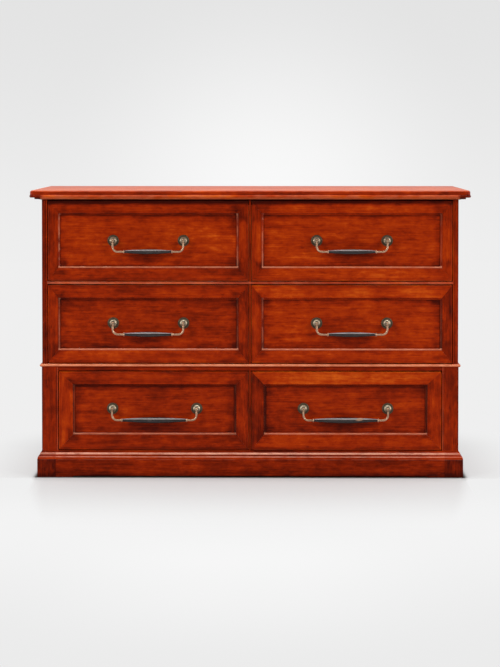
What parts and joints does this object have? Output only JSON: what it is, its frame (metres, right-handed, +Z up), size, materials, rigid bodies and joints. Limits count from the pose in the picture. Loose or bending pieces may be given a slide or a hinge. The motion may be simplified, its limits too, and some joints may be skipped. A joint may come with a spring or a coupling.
{
  "type": "drawer cabinet",
  "caption": "Low hardwood chest of drawers with framed fronts, a moulded top, a plinth and swinging bail pulls; each drawer slides out.",
  "frame": {"origin": "on the floor, under the middle of the top board", "axes": "+X to the right of someone facing the drawers, +Y towards the wall, +Z up"},
  "size_m": [1, 0.44, 0.653],
  "materials": {
    "case_wood": "orange-red stain, gloss lacquer, distressed edges",
    "front_wood": "orange-red stain, gloss lacquer, distressed edges",
    "inner_wood": "bare planed secondary wood, matt",
    "aged_brass": "aged, satin",
    "black_grip": "turned, ebonised, semi-gloss",
    "nail_steel": "dull"
  },
  "bodies": {
    "cabinet": {"top_board": "case_wood", "top_bed_moulding": "case_wood", "sub_top_board": "inner_wood", "left_side_frame": "case_wood", "right_side_frame": "case_wood", "side_panels": "case_wood", "back_boards": "inner_wood", "back_nails": "nail_steel", "bottom_board": "inner_wood", "centre_partition": "inner_wood", "dustboards": "inner_wood", "front_stiles": "case_wood", "face_strips": "case_wood", "waist_moulding": "case_wood", "plinth_cap_moulding": "case_wood", "plinth_boards": "case_wood", "plinth_corner_blocks": "case_wood", "drawer_guides": "inner_wood"},
    "top_left_drawer": {"top_left_front_frame": "front_wood", "top_left_front_panel": "front_wood", "top_left_drawer_box": "inner_wood", "top_left_drawer_bottom": "inner_wood", "top_left_pull_posts": "aged_brass"},
    "top_left_pull": {"top_left_pull_bail": "aged_brass", "top_left_pull_grip": "black_grip"},
    "top_right_drawer": {"top_right_front_frame": "front_wood", "top_right_front_panel": "front_wood", "top_right_drawer_box": "inner_wood", "top_right_drawer_bottom": "inner_wood", "top_right_pull_posts": "aged_brass"},
    "top_right_pull": {"top_right_pull_bail": "aged_brass", "top_right_pull_grip": "black_grip"},
    "middle_left_drawer": {"middle_left_front_frame": "front_wood", "middle_left_front_panel": "front_wood", "middle_left_drawer_box": "inner_wood", "middle_left_drawer_bottom": "inner_wood", "middle_left_pull_posts": "aged_brass"},
    "middle_left_pull": {"middle_left_pull_bail": "aged_brass", "middle_left_pull_grip": "black_grip"},
    "middle_right_drawer": {"middle_right_front_frame": "front_wood", "middle_right_front_panel": "front_wood", "middle_right_drawer_box": "inner_wood", "middle_right_drawer_bottom": "inner_wood", "middle_right_pull_posts": "aged_brass"},
    "middle_right_pull": {"middle_right_pull_bail": "aged_brass", "middle_right_pull_grip": "black_grip"},
    "bottom_left_drawer": {"bottom_left_front_frame": "front_wood", "bottom_left_front_panel": "front_wood", "bottom_left_drawer_box": "inner_wood", "bottom_left_drawer_bottom": "inner_wood", "bottom_left_pull_posts": "aged_brass"},
    "bottom_left_pull": {"bottom_left_pull_bail": "aged_brass", "bottom_left_pull_grip": "black_grip"},
    "bottom_right_drawer": {"bottom_right_front_frame": "front_wood", "bottom_right_front_panel": "front_wood", "bottom_right_drawer_box": "inner_wood", "bottom_right_drawer_bottom": "inner_wood", "bottom_right_pull_posts": "aged_brass"},
    "bottom_right_pull": {"bottom_right_pull_bail": "aged_brass", "bottom_right_pull_grip": "black_grip"}
  },
  "joints": [
    {"name": "top_left_slide", "type": "slide", "parent": "cabinet", "child": "top_left_drawer", "axis": [0, -1, 0], "range_m": [0, 0.28]},
    {"name": "top_left_pull_swing", "type": "hinge", "parent": "top_left_drawer", "child": "top_left_pull", "pos_m": [-0.2315, -0.208, 0.5385], "axis": [-1, 0, 0], "range_deg": [-28, 180]},
    {"name": "top_right_slide", "type": "slide", "parent": "cabinet", "child": "top_right_drawer", "axis": [0, -1, 0], "range_m": [0, 0.28]},
    {"name": "top_right_pull_swing", "type": "hinge", "parent": "top_right_drawer", "child": "top_right_pull", "pos_m": [0.2315, -0.208, 0.5385], "axis": [-1, 0, 0], "range_deg": [-28, 180]},
    {"name": "middle_left_slide", "type": "slide", "parent": "cabinet", "child": "middle_left_drawer", "axis": [0, -1, 0], "range_m": [0, 0.28]},
    {"name": "middle_left_pull_swing", "type": "hinge", "parent": "middle_left_drawer", "child": "middle_left_pull", "pos_m": [-0.2315, -0.208, 0.3505], "axis": [-1, 0, 0], "range_deg": [-28, 180]},
    {"name": "middle_right_slide", "type": "slide", "parent": "cabinet", "child": "middle_right_drawer", "axis": [0, -1, 0], "range_m": [0, 0.28]},
    {"name": "middle_right_pull_swing", "type": "hinge", "parent": "middle_right_drawer", "child": "middle_right_pull", "pos_m": [0.2315, -0.208, 0.3505], "axis": [-1, 0, 0], "range_deg": [-28, 180]},
    {"name": "bottom_left_slide", "type": "slide", "parent": "cabinet", "child": "bottom_left_drawer", "axis": [0, -1, 0], "range_m": [0, 0.28]},
    {"name": "bottom_left_pull_swing", "type": "hinge", "parent": "bottom_left_drawer", "child": "bottom_left_pull", "pos_m": [-0.2175, -0.208, 0.15525], "axis": [-1, 0, 0], "range_deg": [-28, 180]},
    {"name": "bottom_right_slide", "type": "slide", "parent": "cabinet", "child": "bottom_right_drawer", "axis": [0, -1, 0], "range_m": [0, 0.28]},
    {"name": "bottom_right_pull_swing", "type": "hinge", "parent": "bottom_right_drawer", "child": "bottom_right_pull", "pos_m": [0.2175, -0.208, 0.15525], "axis": [-1, 0, 0], "range_deg": [-28, 180]}
  ]
}
